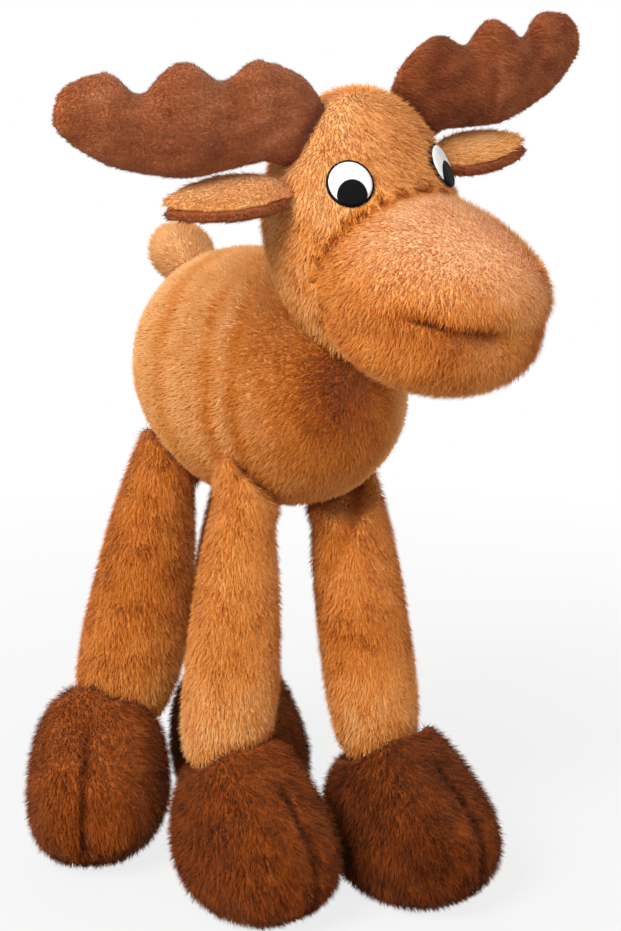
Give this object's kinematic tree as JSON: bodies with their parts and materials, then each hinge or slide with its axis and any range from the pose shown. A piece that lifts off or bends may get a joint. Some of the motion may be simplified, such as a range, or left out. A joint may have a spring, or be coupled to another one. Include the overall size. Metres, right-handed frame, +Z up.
{
  "type": "standing plush moose",
  "caption": "Long-legged plush moose standing on big round hooves, with lobed stuffed antlers, lined ears, a large muzzle and a stub tail; legs, hooves, head, antlers, ears and tail bend.",
  "frame": {"origin": "middle of the toy's footprint, on the surface that it stands on", "axes": "+Z up; the toy faces -Y and its right side is -X"},
  "size_m": [0.2972, 0.2954, 0.4334],
  "materials": {
    "coat_plush": "short soft pile, matte",
    "pale_plush": "short soft pile, matte, paler",
    "hoof_plush": "deep soft pile, matte",
    "antler_plush": "short velvety pile, matte",
    "ear_lining": "short velvety pile, matte",
    "eye_white": "satin embroidery",
    "eye_black": "satin embroidery"
  },
  "bodies": {
    "torso": {"torso": "coat_plush"},
    "leg_front_right": {"leg_front_right": "coat_plush"},
    "hoof_front_right": {"hoof_front_right": "hoof_plush", "hoof_sole_front_right": "hoof_plush"},
    "leg_front_left": {"leg_front_left": "coat_plush"},
    "hoof_front_left": {"hoof_front_left": "hoof_plush", "hoof_sole_front_left": "hoof_plush"},
    "leg_rear_right": {"leg_rear_right": "coat_plush"},
    "hoof_rear_right": {"hoof_rear_right": "hoof_plush", "hoof_sole_rear_right": "hoof_plush"},
    "leg_rear_left": {"leg_rear_left": "coat_plush"},
    "hoof_rear_left": {"hoof_rear_left": "hoof_plush", "hoof_sole_rear_left": "hoof_plush"},
    "head": {"head": "coat_plush", "muzzle": "pale_plush", "chin": "pale_plush", "eye_white_right": "eye_white", "eye_pupil_right": "eye_black", "eye_white_left": "eye_white", "eye_pupil_left": "eye_black"},
    "antler_right": {"antler_right": "antler_plush"},
    "ear_right": {"ear_right": "coat_plush", "ear_lining_right": "ear_lining"},
    "antler_left": {"antler_left": "antler_plush"},
    "ear_left": {"ear_left": "coat_plush", "ear_lining_left": "ear_lining"},
    "tail": {"tail": "coat_plush"}
  },
  "joints": [
    {"name": "hip_front_right", "type": "hinge", "parent": "torso", "child": "leg_front_right", "pos_m": [-0.02892, -0.00243, 0.222], "axis": [-1, 0, 0], "range_deg": [-4, 45]},
    {"name": "ankle_front_right", "type": "hinge", "parent": "leg_front_right", "child": "hoof_front_right", "pos_m": [-0.03602, 0.01227, 0.087], "axis": [0.9925, 0.1219, 0], "range_deg": [-15, 15]},
    {"name": "hip_front_left", "type": "hinge", "parent": "torso", "child": "leg_front_left", "pos_m": [0.02846, 0.00407, 0.222], "axis": [-1, 0, 0], "range_deg": [-8, 45]},
    {"name": "ankle_front_left", "type": "hinge", "parent": "leg_front_left", "child": "hoof_front_left", "pos_m": [0.0367, -0.01563, 0.087], "axis": [0.9781, 0.2079, 0], "range_deg": [-15, 15]},
    {"name": "hip_rear_right", "type": "hinge", "parent": "torso", "child": "leg_rear_right", "pos_m": [-0.0255, 0.07957, 0.222], "axis": [-1, 0, 0], "range_deg": [-45, 4]},
    {"name": "ankle_rear_right", "type": "hinge", "parent": "leg_rear_right", "child": "hoof_rear_right", "pos_m": [-0.04466, 0.10527, 0.087], "axis": [0.8387, -0.5446, 0], "range_deg": [-15, 15]},
    {"name": "hip_rear_left", "type": "hinge", "parent": "torso", "child": "leg_rear_left", "pos_m": [0.02618, 0.08007, 0.222], "axis": [-1, 0, 0], "range_deg": [-45, 8]},
    {"name": "ankle_rear_left", "type": "hinge", "parent": "leg_rear_left", "child": "hoof_rear_left", "pos_m": [0.02518, 0.12077, 0.087], "axis": [0.9962, -0.0872, 0], "range_deg": [-15, 15]},
    {"name": "head_turn", "type": "hinge", "parent": "torso", "child": "head", "pos_m": [0.00718, -0.02893, 0.304], "axis": [-0.0782, -0.0068, 0.9969], "range_deg": [-20, 20]},
    {"name": "antler_bend_right", "type": "hinge", "parent": "head", "child": "antler_right", "pos_m": [-0.02745, -0.05002, 0.38841], "axis": [-0.0782, -0.0068, 0.9969], "range_deg": [-20, 20], "stiffness_Nm_per_rad": 0.08},
    {"name": "ear_bend_right", "type": "hinge", "parent": "head", "child": "ear_right", "pos_m": [-0.03759, -0.05292, 0.36192], "axis": [-0.0782, -0.0068, 0.9969], "range_deg": [-20, 20], "stiffness_Nm_per_rad": 0.02},
    {"name": "antler_bend_left", "type": "hinge", "parent": "head", "child": "antler_left", "pos_m": [0.03134, -0.04488, 0.39305], "axis": [-0.0782, -0.0068, 0.9969], "range_deg": [-20, 20], "stiffness_Nm_per_rad": 0.08},
    {"name": "ear_bend_left", "type": "hinge", "parent": "head", "child": "ear_left", "pos_m": [0.04583, -0.04562, 0.36851], "axis": [-0.0782, -0.0068, 0.9969], "range_deg": [-20, 20], "stiffness_Nm_per_rad": 0.02},
    {"name": "tail_wag", "type": "hinge", "parent": "torso", "child": "tail", "pos_m": [0.00718, 0.10157, 0.296], "axis": [0, 0, 1], "range_deg": [-25, 25], "stiffness_Nm_per_rad": 0.03}
  ]
}
